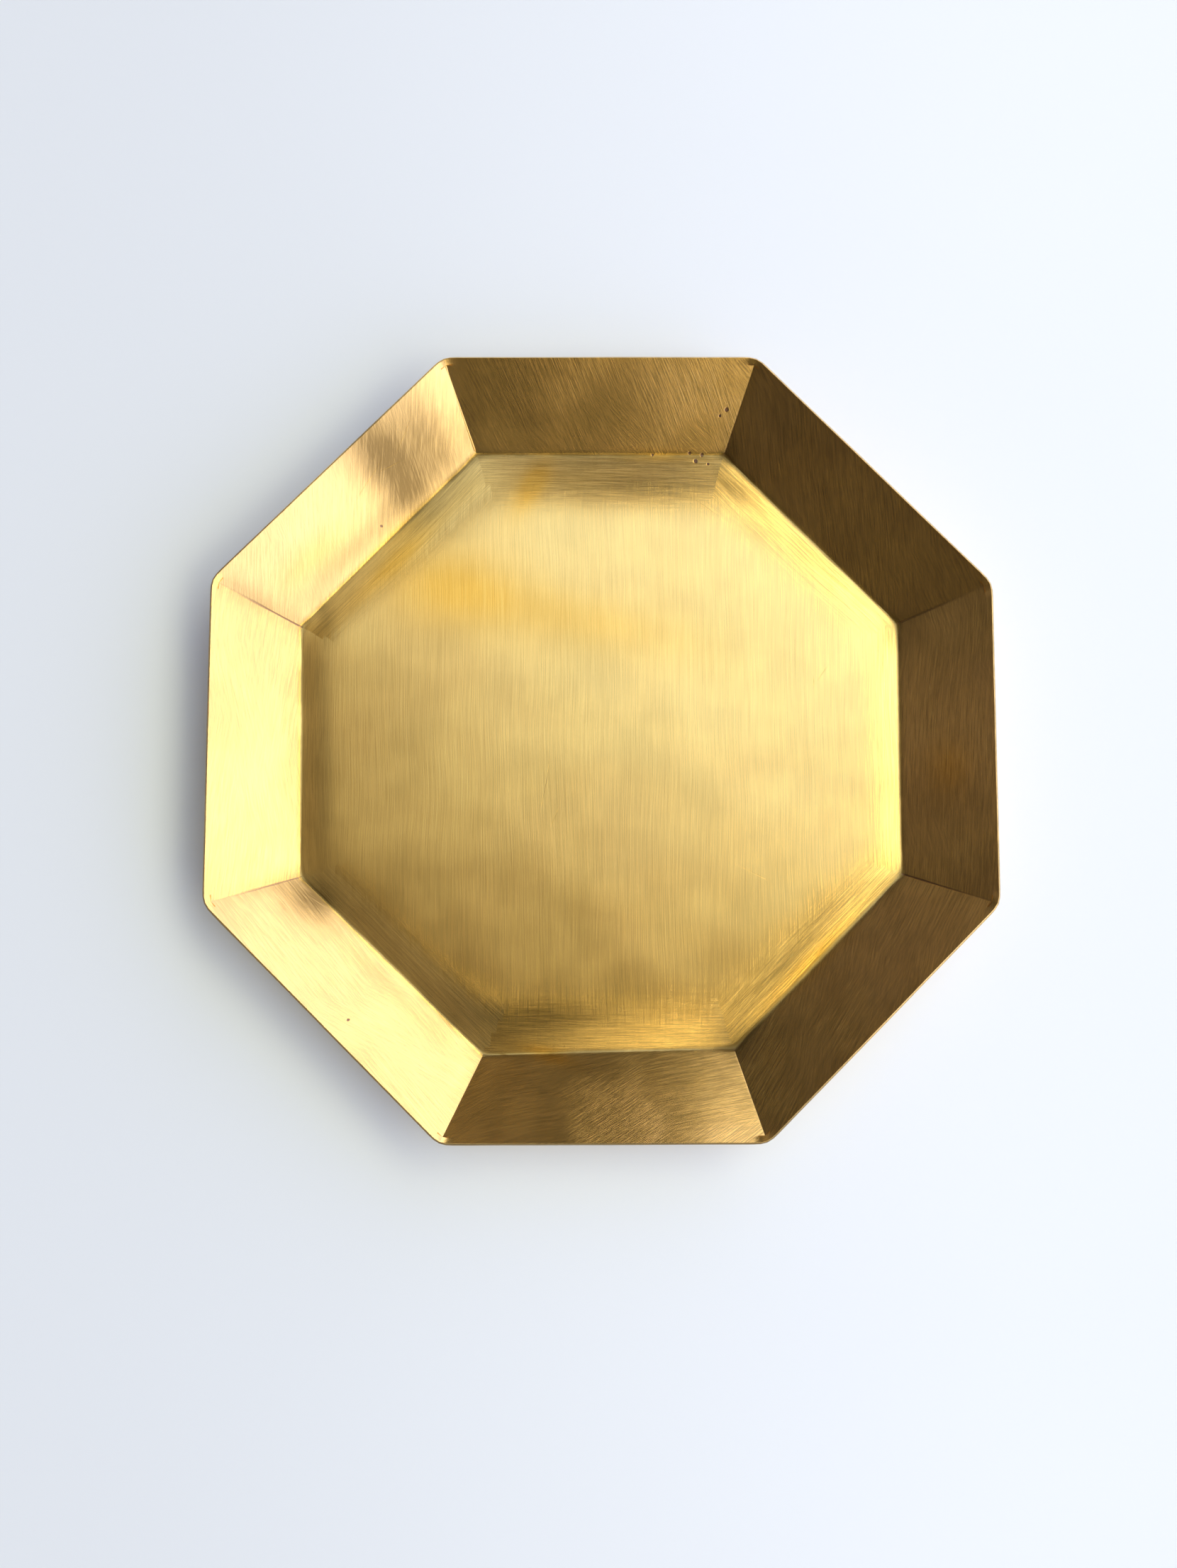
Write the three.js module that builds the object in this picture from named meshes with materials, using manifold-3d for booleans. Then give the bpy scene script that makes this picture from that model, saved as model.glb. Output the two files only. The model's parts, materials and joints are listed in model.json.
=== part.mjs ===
// Octagonal brass tray, folded up from one sheet and brazed at its eight mitres.
//
// One sheet makes the floor and the eight flaps, so the bends along the sides are
// unbroken metal. Each pair of neighbouring flaps meets at a mitre, and a run of
// braze fills that mitre: a thin stem through the sheet and a bead on the back.
//
// Frame: millimetres, +Z up, origin on the resting plane under the tray's centre.
// The flats of the octagon face +X, -X, +Y and -Y.

import * as THREE from 'three';
import { mergeVertices } from 'three/addons/utils/BufferGeometryUtils.js';
import Module from 'manifold-3d';

// ---- Driving dimensions, in millimetres -------------------------------------

const SIDES = 8;
const RIM_ACROSS = 240; // flat to flat over the rim
const HEIGHT = 20; // resting plane to the top of the rim
const FLAP_SPREAD = 23.5; // how far a flap leans out, seen from above
const SHEET = 1.2; // thickness of the brass
const BEND_INSIDE = 2; // inside radius of the bends
const FLOOR_RAISE = 1.2; // how far the hammered floor stands above its edge
const SHOULDER = 14; // width of the rounded edge of the floor, bend included
const LAND = 3; // width of the flat ring underneath that the tray stands on
const RIM_CORNER = 15; // plan radius of the corners at the rim
const FLOOR_CORNER = 2; // plan radius of the corners at the floor
const SEAM_WIDTH = 0.8; // braze showing in a mitre
const BEAD_WIDTH = 4; // bead of braze on the back of a mitre
const BEAD_THICKNESS = 0.8;
const BEAD_SETBACK = 3; // from the rim's corner to the end of the bead
const CLEARANCE = 0.3; // between the sheet and the braze

const BEND_STEPS = 4; // facets round a bend
const SHOULDER_STEPS = 6; // facets over the rounded edge of the floor
const CORNER_STEPS = 6; // facets round a corner in plan

// ---- Finishes ---------------------------------------------------------------

const BRUSHED_BRASS = { color: 0xc79a45, roughness: 0.34, metalness: 1 };
const BRAZE = { color: 0x9c6a38, roughness: 0.5, metalness: 1 };

// ---- Worked out from the above ----------------------------------------------

const rimFlat = RIM_ACROSS / 2; // centre to a flat of the rim
const foldFlat = rimFlat - FLAP_SPREAD; // centre to where a flap's back meets the plane
const bendOutside = BEND_INSIDE + SHEET;
const halfTurn = Math.PI / SIDES; // half the angle between neighbouring flats
const cornerReach = 1 / Math.cos(halfTurn); // corner distance over flat distance
const flapSlope = findFlapSlope();
const bendStart = foldFlat - bendOutside * Math.tan(flapSlope / 2);

// The slope of a flap's back, which leaves the bend and ends where the square-cut
// rim puts the sheet's upper edge at HEIGHT. Each pass sharpens the last one.
function findFlapSlope() {
  const passes = 30;
  let slope = Math.PI / 4;
  for (let pass = 0; pass < passes; pass++) {
    const rise = HEIGHT - SHEET * Math.cos(slope);
    slope = Math.atan2(rise, FLAP_SPREAD);
  }
  return slope;
}

// The underside of the sheet from the axis to the rim: flat floor, rounded edge,
// flat land, bend and flap. x is the distance from the axis to a flat.
function undersideLine() {
  const plateau = new THREE.Vector2(foldFlat - SHOULDER, FLOOR_RAISE);
  const landIn = new THREE.Vector2(bendStart - LAND, 0);
  const crown = new THREE.Vector2((plateau.x + landIn.x) / 2, FLOOR_RAISE);
  const shoulder = new THREE.QuadraticBezierCurve(plateau, crown, landIn);
  const line = [new THREE.Vector2(0, FLOOR_RAISE), ...shoulder.getPoints(SHOULDER_STEPS)];
  for (let step = 0; step <= BEND_STEPS; step++) {
    const turn = (flapSlope * step) / BEND_STEPS;
    const x = bendStart + bendOutside * Math.sin(turn);
    line.push(new THREE.Vector2(x, bendOutside * (1 - Math.cos(turn))));
  }
  line.push(new THREE.Vector2(rimFlat, HEIGHT - SHEET * Math.cos(flapSlope)));
  return line;
}

// The same line moved square to itself, upwards and inwards for a positive distance.
function offsetLine(line, distance) {
  return line.map((point, index) => {
    const before = line[Math.max(index - 1, 0)];
    const after = line[Math.min(index + 1, line.length - 1)];
    const into = index > 0 ? point.clone().sub(before) : after.clone().sub(point);
    const out = index < line.length - 1 ? after.clone().sub(point) : into.clone();
    const normalIn = new THREE.Vector2(-into.y, into.x).normalize();
    const normalOut = new THREE.Vector2(-out.y, out.x).normalize();
    const normal = normalIn.clone().add(normalOut).normalize();
    return point.clone().addScaledVector(normal, distance / normal.dot(normalIn));
  });
}

// Plan radius of the octagon's corners at a distance from the axis: small at the
// floor, and opening out up the flaps to the rim.
function cornerRadius(flat) {
  if (flat <= foldFlat) return (FLOOR_CORNER * flat) / foldFlat;
  return THREE.MathUtils.mapLinear(flat, foldFlat, rimFlat, FLOOR_CORNER, RIM_CORNER);
}

// One point of the round-cornered octagon whose flats lie at a distance from the axis.
function outlinePoint(flat, index) {
  const corner = Math.floor(index / (CORNER_STEPS + 1)) % SIDES;
  const step = index % (CORNER_STEPS + 1);
  const heading = halfTurn * (2 * corner + 1);
  const radius = cornerRadius(flat);
  const centre = (flat - radius) * cornerReach;
  const turn = heading + halfTurn * ((2 * step) / CORNER_STEPS - 1);
  const x = centre * Math.cos(heading) + radius * Math.cos(turn);
  const y = centre * Math.sin(heading) + radius * Math.sin(turn);
  return new THREE.Vector2(x, y);
}

// ---- Solids -----------------------------------------------------------------

const wasm = await Module();
wasm.setup();

// A closed three.js geometry as a solid. Triangles that close up at the axis go.
function solidOf(geometry) {
  const bare = geometry.clone();
  bare.deleteAttribute('normal');
  bare.deleteAttribute('uv');
  const merged = mergeVertices(bare);
  const corners = Array.from(merged.index.array);
  const triangles = [];
  for (let i = 0; i < corners.length; i += 3) {
    const [a, b, c] = corners.slice(i, i + 3);
    if (a !== b && b !== c && c !== a) triangles.push(a, b, c);
  }
  const vertProperties = new Float32Array(merged.attributes.position.array);
  const triVerts = new Uint32Array(triangles);
  return new wasm.Manifold(new wasm.Mesh({ numProp: 3, vertProperties, triVerts }));
}

function geometryOf(solid) {
  const mesh = solid.getMesh();
  const geometry = new THREE.BufferGeometry();
  geometry.setAttribute('position', new THREE.BufferAttribute(mesh.vertProperties, 3));
  geometry.setIndex(new THREE.BufferAttribute(mesh.triVerts, 1));
  geometry.computeVertexNormals();
  return geometry;
}

// The octagonal skin between two offsets of the underside: a closed section is
// lathed, and each of its rings is then laid out as a round-cornered octagon.
function skin(lower, upper) {
  const underside = undersideLine();
  const bottom = offsetLine(underside, lower);
  const top = offsetLine(underside, upper);
  const section = [...bottom, ...top.reverse()];
  const ringSteps = SIDES * (CORNER_STEPS + 1);
  const geometry = new THREE.LatheGeometry(section, ringSteps);
  const position = geometry.attributes.position;
  for (let i = 0; i < position.count; i++) {
    const ring = Math.floor(i / section.length);
    const { x: flat, y: height } = section[i % section.length];
    const plan = outlinePoint(flat, ring);
    position.setXYZ(i, plan.x, plan.y, height);
  }
  return solidOf(geometry);
}

// An upright slab on the line of one mitre, from one distance out to another.
function mitreSlab(corner, width, from, to) {
  const tall = 4 * HEIGHT;
  const slab = new THREE.BoxGeometry(to - from, width, tall);
  slab.translate((from + to) / 2, 0, 0);
  slab.rotateZ(halfTurn * (2 * corner + 1));
  return solidOf(slab);
}

// ---- Where a mitre starts and ends, along its own line ----------------------

const pastRim = rimFlat * cornerReach + SHEET;
const mitreStart = bendStart * cornerReach;
const rimTip = (rimFlat - RIM_CORNER) * cornerReach + RIM_CORNER;
const beadDepth = CLEARANCE + BEAD_THICKNESS;
// The bead starts where the flaps' backs are high enough to keep it off the plane.
const beadRise = beadDepth / Math.cos(flapSlope) + CLEARANCE;
const beadStart = (foldFlat + beadRise / Math.tan(flapSlope)) * cornerReach;
const beadEnd = rimTip - BEAD_SETBACK;

const sheet = skin(0, SHEET);
const sheetAndBead = skin(-beadDepth, SHEET);
const beadLayer = skin(-beadDepth, -CLEARANCE);

// ---- The pieces -------------------------------------------------------------

function makeTraySheet() {
  let tray = sheet;
  for (let corner = 0; corner < SIDES; corner++) {
    const width = SEAM_WIDTH + 2 * CLEARANCE;
    tray = tray.subtract(mitreSlab(corner, width, mitreStart, pastRim));
  }
  return geometryOf(tray);
}

function makeMitreSeam(corner) {
  const stem = mitreSlab(corner, SEAM_WIDTH, mitreStart + CLEARANCE, pastRim);
  const root = mitreSlab(corner, SEAM_WIDTH, beadStart, beadEnd);
  const bead = mitreSlab(corner, BEAD_WIDTH, beadStart, beadEnd);
  const through = sheet.intersect(stem).add(sheetAndBead.intersect(root));
  return geometryOf(through.add(beadLayer.intersect(bead)));
}

function addPiece(group, name, geometry, finish) {
  const piece = new THREE.Mesh(geometry, new THREE.MeshStandardMaterial(finish));
  piece.name = name;
  group.add(piece);
}

const group = new THREE.Group();
addPiece(group, 'tray_sheet', makeTraySheet(), BRUSHED_BRASS);
for (let corner = 0; corner < SIDES; corner++) {
  addPiece(group, `mitre_seam_${corner + 1}`, makeMitreSeam(corner), BRAZE);
}

export default group;
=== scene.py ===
"""Octagonal tray of hand-brushed brass, folded up from one sheet and brazed at its mitres.

Builds the finished surfaces of the tray round the loaded frame, then a pale table,
daylight from one side and a camera that looks almost straight down into the tray.
"""

import json
import math

import bmesh
import bpy
from bpy.props import (
    FloatProperty,
    FloatVectorProperty,
    IntProperty,
    PointerProperty,
)
from mathutils import Matrix, Vector
from mathutils.bvhtree import BVHTree


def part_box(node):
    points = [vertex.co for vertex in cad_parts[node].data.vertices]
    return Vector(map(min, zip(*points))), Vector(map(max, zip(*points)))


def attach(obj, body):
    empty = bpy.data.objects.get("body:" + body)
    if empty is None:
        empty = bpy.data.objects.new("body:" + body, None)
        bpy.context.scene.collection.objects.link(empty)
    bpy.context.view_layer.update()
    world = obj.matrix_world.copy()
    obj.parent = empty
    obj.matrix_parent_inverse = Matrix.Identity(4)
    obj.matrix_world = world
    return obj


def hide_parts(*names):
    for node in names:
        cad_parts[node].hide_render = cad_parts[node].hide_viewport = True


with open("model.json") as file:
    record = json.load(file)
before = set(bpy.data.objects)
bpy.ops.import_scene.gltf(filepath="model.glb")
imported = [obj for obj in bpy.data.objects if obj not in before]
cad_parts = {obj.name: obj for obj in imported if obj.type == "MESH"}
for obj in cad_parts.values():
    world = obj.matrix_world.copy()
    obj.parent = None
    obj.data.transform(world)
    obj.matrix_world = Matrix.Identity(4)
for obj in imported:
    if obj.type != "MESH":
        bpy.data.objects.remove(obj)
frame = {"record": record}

bl_info = {
    "name": "Brushed Brass Tray",
    "version": (1, 0, 0),
    "blender": (4, 5, 0),
    "location": "View3D > Sidebar > Brass Tray",
    "description": "Models and finishes a folded octagonal brass tray",
    "category": "Object",
}

MM = 0.001
SIDES = 8
TURN = 2 * math.pi / SIDES  # from one flap to the next
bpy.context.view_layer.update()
TRAY_LOW, TRAY_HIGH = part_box("tray_sheet")
MOUNTS = {mount["name"]: mount for mount in frame["record"]["mounts"]}


# ---- Sizes and colours that a user would change ---------------------------------


class TraySizes(bpy.types.PropertyGroup):
    rim: FloatProperty(
        name="Rim",
        description="From the centre to a flat of the rim",
        default=TRAY_HIGH.x,
        unit="LENGTH",
    )
    height: FloatProperty(
        name="Height",
        description="From the table to the top of the rim",
        default=TRAY_HIGH.z,
        unit="LENGTH",
    )
    lean: FloatProperty(
        name="Lean",
        description="How far a flap leans out, seen from above",
        default=23.5 * MM,
        unit="LENGTH",
    )
    sheet: FloatProperty(
        name="Sheet",
        description="Thickness of the brass",
        default=1.2 * MM,
        unit="LENGTH",
    )
    floor: FloatProperty(
        name="Floor",
        description="Height of the flat of the floor above the table",
        default=MOUNTS["tray_floor"]["pos_m"][2],
        unit="LENGTH",
    )
    shoulder: FloatProperty(
        name="Shoulder",
        description="Width of the rounded edge of the floor",
        default=14 * MM,
        unit="LENGTH",
    )
    dish: FloatProperty(
        name="Dish",
        description="How far the middle of a flap is hollowed",
        default=0.25 * MM,
        unit="LENGTH",
    )
    ripple: FloatProperty(
        name="Ripple",
        description="Height of the unevenness left by hand work",
        default=0.16 * MM,
        unit="LENGTH",
    )
    detail: IntProperty(
        name="Detail",
        description="Times that the sheet's cage is subdivided",
        default=3,
        min=1,
        max=4,
    )


class TrayFinish(bpy.types.PropertyGroup):
    brass: FloatVectorProperty(
        name="Brass",
        description="Freshly rubbed brass",
        subtype="COLOR",
        default=(0.93, 0.60, 0.155),
        min=0,
        max=1,
    )
    tarnish: FloatVectorProperty(
        name="Tarnish",
        description="Browner brass where it has been handled less",
        subtype="COLOR",
        default=(0.80, 0.46, 0.115),
        min=0,
        max=1,
    )
    warm: FloatVectorProperty(
        name="Warm brass",
        description="More orange brass where the torch has coloured it",
        subtype="COLOR",
        default=(0.98, 0.52, 0.07),
        min=0,
        max=1,
    )
    # Also the colour of painted shade: the broad darker stretches and the rim's cut edge.
    stain: FloatVectorProperty(
        name="Stain",
        description="Heat stain beside the brazed mitres",
        subtype="COLOR",
        default=(0.22, 0.135, 0.032),
        min=0,
        max=1,
    )
    braze: FloatVectorProperty(
        name="Braze",
        description="The redder filler in the mitres",
        subtype="COLOR",
        default=(0.24, 0.13, 0.055),
        min=0,
        max=1,
    )
    table: FloatVectorProperty(
        name="Table",
        description="The pale surface under the tray",
        subtype="COLOR",
        default=(0.89, 0.925, 0.832),
        min=0,
        max=1,
    )


def sizes():
    return bpy.context.scene.tray_sizes


def finish():
    return bpy.context.scene.tray_finish


# ---- Modelling helpers ----------------------------------------------------------


def select_only(obj):
    bpy.ops.object.select_all(action="DESELECT")
    obj.select_set(True)
    bpy.context.view_layer.objects.active = obj


def start_piece(name):
    """Names the primitive just added, sets its place into its mesh and opens it."""
    obj = bpy.context.active_object
    obj.name = name
    obj.data.name = name
    select_only(obj)
    bpy.ops.object.transform_apply(location=True, rotation=True, scale=True)
    bpy.ops.object.mode_set(mode="EDIT")
    bpy.ops.mesh.select_mode(type="VERT")
    return obj


def choose(obj, wanted, kind="verts"):
    """Selects just the vertices, edges or faces that wanted() accepts."""
    bpy.ops.mesh.select_all(action="DESELECT")
    shape = bmesh.from_edit_mesh(obj.data)
    for item in getattr(shape, kind):
        if wanted(item):
            item.select_set(True)
    shape.select_flush_mode()
    bmesh.update_edit_mesh(obj.data)


def apply_modifier(obj, kind, **settings):
    select_only(obj)
    modifier = obj.modifiers.new(kind.title(), kind)
    for key, value in settings.items():
        setattr(modifier, key, value)
    bpy.ops.object.modifier_apply(modifier=modifier.name)


# ---- The sheet: a cage of eight-cornered rings, from the floor out to the rim ----

SIDE_PARTS = 6  # lengths that each side of the octagon is divided into
RING = "ring"  # vertex attribute that numbers the rings
FOLD_RING = 4  # the ring that lies in the bends
FLAP_SHARES = (0.0, 0.12, 0.45, 0.78, 0.965, 1.0)  # how far up the flap its rings lie
# The same for the rounded edge of the floor: how far in from the fold each ring lies
# along X and along Y, in widths of the shoulder, and its share of the floor's rise.
SHOULDER_RINGS = (
    (1.00, 1.75, 1.00),
    (0.60, 1.05, 0.85),
    (0.35, 0.60, 0.55),
    (0.14, 0.22, 0.17),
)
SLOPE_STEPS = 30
# How far each corner has crept round the octagon, at the rim and at the floor, in mm.
# The first corner is the one beside the +X flap on its +Y side.
RIM_DRIFT = (-0.5, 1.5, -0.5, -1.0, -1.5, 0.0, -1.5, 0.0)
FLOOR_DRIFT = (0.5, -0.5, 0.5, 0.5, 1.0, 2.0, 1.5, -1.0)


def flap_slope(s):
    """A flap's angle from the table, found by steps: the sheet's thickness is part of it."""
    slope = math.pi / 4
    for _ in range(SLOPE_STEPS):
        slope = math.atan2(s.height - s.sheet * math.cos(slope), s.lean)
    return slope


def tray_rings(s):
    """(distance to a flat along X, the same along Y, height) of each ring."""
    slope = flap_slope(s)
    rim = s.rim - s.sheet * math.sin(slope)
    rise = s.height - s.sheet
    fold = rim - rise / math.tan(slope)
    raised = s.floor - s.sheet

    def up_flap(share):
        hollow = 4 * share * (1 - share) * s.dish
        flat = fold + (rim - fold) * share + hollow * math.sin(slope)
        return flat, flat, s.sheet + rise * share - hollow * math.cos(slope)

    def up_shoulder(in_x, in_y, share):
        return fold - in_x * s.shoulder, fold - in_y * s.shoulder, s.sheet + share * raised

    return [
        *(up_shoulder(*place) for place in SHOULDER_RINGS),
        *(up_flap(share) for share in FLAP_SHARES),
    ]


def corner_drift(corner, ring):
    """How far a corner has moved sideways, in metres, from the floor's drift to the rim's."""
    up = FLAP_SHARES[max(0, ring - FOLD_RING)]
    drift = FLOOR_DRIFT[corner] * (1 - up) + RIM_DRIFT[corner] * up
    return drift * MM * min(1.0, ring / FOLD_RING)


def corner_angle(corner):
    return TURN * (corner + 0.5)


def nearest_corner(point):
    """(the corner that a point is nearest to, how far round the side from it, -0.5 to 0.5)."""
    turns = math.atan2(point.y, point.x) / TURN - 0.5
    corner = round(turns)
    return corner % SIDES, turns - corner


def sheet_cage(s):
    rings = tray_rings(s)
    last = len(rings) - 1
    first_x, first_y, first_z = rings[0]
    bpy.ops.mesh.primitive_circle_add(
        vertices=SIDES,
        radius=1 / math.cos(TURN / 2),
        fill_type="NOTHING",
        rotation=(0, 0, TURN / 2),
    )
    obj = start_piece("brass_sheet")
    bmesh.from_edit_mesh(obj.data).verts.layers.float.new(RING)
    bpy.ops.mesh.select_all(action="SELECT")
    bpy.ops.transform.resize(value=(first_x, first_y, 1), center_override=(0, 0, 0))
    bpy.ops.transform.translate(value=(0, 0, first_z))
    for ring in range(1, last + 1):
        bpy.ops.mesh.select_mode(type="EDGE")
        layer = bmesh.from_edit_mesh(obj.data).verts.layers.float[RING]
        choose(
            obj,
            lambda edge: all(vert[layer] == ring - 1 for vert in edge.verts),
            "edges",
        )
        bpy.ops.mesh.extrude_edges_move()
        (from_x, from_y, from_z), (to_x, to_y, to_z) = rings[ring - 1], rings[ring]
        scale = (to_x / from_x, to_y / from_y, 1)
        bpy.ops.transform.resize(value=scale, center_override=(0, 0, 0))
        bpy.ops.transform.translate(value=(0, 0, to_z - from_z))
        shape = bmesh.from_edit_mesh(obj.data)
        layer = shape.verts.layers.float[RING]
        for vert in shape.verts:
            if vert.select:
                vert[layer] = ring
    bpy.ops.mesh.select_mode(type="VERT")
    drift_corners(obj, last)
    divide_sides(obj)
    return obj


def drift_corners(obj, last):
    for corner in range(SIDES):
        for ring in range(1, last + 1):
            layer = bmesh.from_edit_mesh(obj.data).verts.layers.float[RING]
            choose(
                obj,
                lambda vert: vert[layer] == ring and nearest_corner(vert.co)[0] == corner,
            )
            angle, drift = corner_angle(corner), corner_drift(corner, ring)
            sideways = (-math.sin(angle) * drift, math.cos(angle) * drift, 0)
            bpy.ops.transform.translate(value=sideways)


def divide_sides(obj):
    """Divides each side of every ring, and gives the floor an even grid."""
    layer = bmesh.from_edit_mesh(obj.data).verts.layers.float[RING]
    bpy.ops.mesh.select_mode(type="EDGE")
    choose(obj, lambda edge: edge.verts[0][layer] == edge.verts[1][layer], "edges")
    bpy.ops.mesh.subdivide(number_cuts=SIDE_PARTS - 1)
    layer = bmesh.from_edit_mesh(obj.data).verts.layers.float[RING]
    choose(
        obj,
        lambda edge: edge.is_boundary and all(vert[layer] == 0 for vert in edge.verts),
        "edges",
    )
    bpy.ops.mesh.fill_grid(span=SIDES * SIDE_PARTS // 4, use_interp_simple=True)
    bpy.ops.mesh.select_all(action="SELECT")
    bpy.ops.mesh.normals_make_consistent(inside=True)
    if any(face.normal.z < 0 for face in bmesh.from_edit_mesh(obj.data).faces):
        raise RuntimeError("the sheet's faces must all look up")


SHARP = 10  # the sharpness of a crease that isn't rounded at all
ON_MITRE = 0.08  # as nearest_corner() measures, how near an edge on a mitre is to it


def crease(sharpness):
    """Blender's edge crease for a semi-sharp crease that holds for some subdivisions."""
    return math.sqrt(sharpness / SHARP)


def crease_folds(obj):
    """Mitres sharp but for their last stretch at the rim; bends sharpest at their ends."""
    last = len(tray_rings(sizes())) - 1
    shape = bmesh.from_edit_mesh(obj.data)
    ring_of = shape.verts.layers.float[RING]
    weight = shape.edges.layers.float.get("crease_edge")
    weight = weight or shape.edges.layers.float.new("crease_edge")
    for edge in shape.edges:
        first, second = edge.verts
        ring = min(first[ring_of], second[ring_of])
        middle = (first.co + second.co) / 2
        beside = abs(nearest_corner(middle)[1])
        if first[ring_of] != second[ring_of]:
            if beside < ON_MITRE and ring >= FOLD_RING:
                edge[weight] = crease(2.0 if ring == last - 1 else SHARP)
            elif beside < ON_MITRE and ring == FOLD_RING - 1:
                edge[weight] = crease(0.8)
        elif ring == FOLD_RING:
            edge[weight] = crease(1.0 + 3.0 * (0.5 - beside))
    bmesh.update_edit_mesh(obj.data)


def ripple(obj, s):
    """The gentle unevenness of hand-worked sheet."""
    texture = bpy.data.textures.new("hand_work", "CLOUDS")
    texture.noise_scale = 0.032
    texture.noise_depth = 1
    apply_modifier(
        obj,
        "DISPLACE",
        texture=texture,
        texture_coords="LOCAL",
        direction="NORMAL",
        mid_level=0.5,
        strength=2 * s.ripple,
    )


def soften_rim(obj, s):
    """Breaks the two edges of the cut rim with a fine file."""
    bpy.ops.object.mode_set(mode="EDIT")
    bpy.ops.mesh.select_mode(type="EDGE")
    high = s.height / 2
    choose(
        obj,
        lambda edge: len(edge.link_faces) == 2
        and edge.calc_face_angle() > math.radians(60)
        and edge.verts[0].co.z > high,
        "edges",
    )
    bpy.ops.mesh.bevel(offset=0.18 * s.sheet, segments=2, affect="EDGES")
    bpy.ops.object.mode_set(mode="OBJECT")


def fit_box(obj, low, high):
    """Brings a finished piece exactly to its box, which undoes the ripple's growth."""
    corners = [Vector(corner) for corner in obj.bound_box]
    now_low = Vector(min(c[i] for c in corners) for i in range(3))
    now_high = Vector(max(c[i] for c in corners) for i in range(3))
    scale = [(high[i] - low[i]) / (now_high[i] - now_low[i]) for i in range(3)]
    shift = [low[i] - now_low[i] * scale[i] for i in range(3)]
    obj.data.transform(Matrix.LocRotScale(Vector(shift), None, Vector(scale)))
    obj.data.update()


# Lay of the brush marks on each flap, from the +X flap round by +Y, in degrees
# away from the flap's own length.
BRUSH_LAY = (4, 40, 66, -45, 8, 6, -12, -15)


def side_of(point, mitres):
    """The side of the octagon that a point belongs to, told by the crept mitres."""
    corner = nearest_corner(point)[0]
    start, end = mitres[corner]
    line, offset = end - start, point.to_2d() - start
    beyond = line.x * offset.y - line.y * offset.x > 0
    return (corner + 1) % SIDES if beyond else corner


def brush_maps(obj, s):
    """A UV map along the brush marks, and one that follows the edge of the floor."""
    mesh = obj.data
    lay = mesh.uv_layers.new(name="brush")
    edge = mesh.uv_layers.new(name="edge")
    joint = mesh.uv_layers.new(name="mitre")
    mitres = [seam_ends(corner, s) for corner in range(SIDES)]
    slope = flap_slope(s)
    side_length = 2 * s.rim * math.tan(TURN / 2)
    ring = mesh.attributes[RING].data
    for face in mesh.polygons:
        rings = [ring[v].value for v in face.vertices]
        on_flap = sum(rings) / len(rings) > FOLD_RING
        side = side_of(face.center, mitres)
        angle = TURN * side
        turn = math.radians(BRUSH_LAY[side])
        for loop in face.loop_indices:
            point = mesh.vertices[mesh.loops[loop].vertex_index].co
            along = -point.x * math.sin(angle) + point.y * math.cos(angle)
            out = point.x * math.cos(angle) + point.y * math.sin(angle)
            edge.data[loop].uv = (along + side * side_length, out)
            start, end = mitres[nearest_corner(point)[0]]
            line = (end - start).normalized()
            offset = point.to_2d() - start
            away = abs(offset.x * line.y - offset.y * line.x)
            joint.data[loop].uv = (away, offset.dot(line) / (end - start).length)
            if on_flap:
                up = out / math.cos(slope)
                u = along * math.cos(turn) + up * math.sin(turn)
                v = -along * math.sin(turn) + up * math.cos(turn)
                lay.data[loop].uv = (u + side, v)
            else:
                lay.data[loop].uv = (point.y, point.x)


# Soft marks on the brass: (x, y, half length, half width in mm, heading in degrees,
# strength). The first list is dark handling and heat marks, and broad, faintly darker
# stretches that are painted shade, such as those over the +Y flap and along the
# shoulders of the floor; the second is warm, more orange metal.
DARK_MARKS_AND_SHADE = (
    (-91, -47, 10, 6.0, 150, 0.85),
    (-88, 42, 7, 3, 100, 0.30),
    (-67, 89, 18, 10, 131, 1.0),
    (-54, 98, 14, 9, 128, 0.68),
    (42, 95, 5, 3, 60, 0.45),
    (44, 84, 10, 3, 140, 0.40),
    (93, 36, 6, 4, 90, 0.35),
    (90, -44, 7, 4, 30, 0.45),
    (44, -93, 11, 6, 40, 0.60),
    (-38, -94, 5, 2.5, 10, 0.25),
    (5, 93, 34, 2, 0, 0.35),
    (-19, -84, 26, 6, 0, 0.80),
    (17, 85, 33, 7, 0, 0.62),
    (-88, -5, 36, 2.5, 90, 0.32),
    (-66, -66, 28, 3, -45, 0.06),
    (70, 62, 24, 3, -45, 0.18),
    (60, -66, 26, 4, 45, 0.62),
    (52, 72, 16, 6, 135, 0.14),
    (6, 108, 12, 7, 0, 0.22),
    (-6, 107, 36, 13, 0, 0.22),
    (-98, 4, 34, 2.5, 90, 0.24),
    (-70, -71, 30, 2.5, -45, 0.22),
    (-74, 68, 26, 3.5, 45, 0.36),
    (-112, 48, 12, 3, 150, 0.22),
    (-106, -30, 10, 3, 60, 0.10),
)
WARMTHS = (
    (-48, 52, 20, 13, -10, 0.80),
    (-10, 42, 40, 9, -12, 0.55),
    (-22, 85, 10, 4, 60, 1.0),
    (0, 86, 44, 6, 0, 0.35),
    (-64, 62, 24, 3, 45, 0.7),
    (24, -85, 22, 5, 0, 0.15),
    (66, -68, 20, 3, 45, 0.9),
    (-17, -96.5, 8, 2.2, -15, 1.0),
    (18, 95, 14, 2, 0, 0.8),
    (-62, 72, 12, 3, 45, 0.6),
    (-90, 60, 14, 4, 45, 0.4),
    (108, -8, 8, 5, 90, 0.6),
)


# How dark the hairline in each mitre is, from the first corner round from +X.
MITRE_LINES = (0.5, 0.3, 0.0, 0.9, 0.65, 0.2, 0.2, 0.85)


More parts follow.
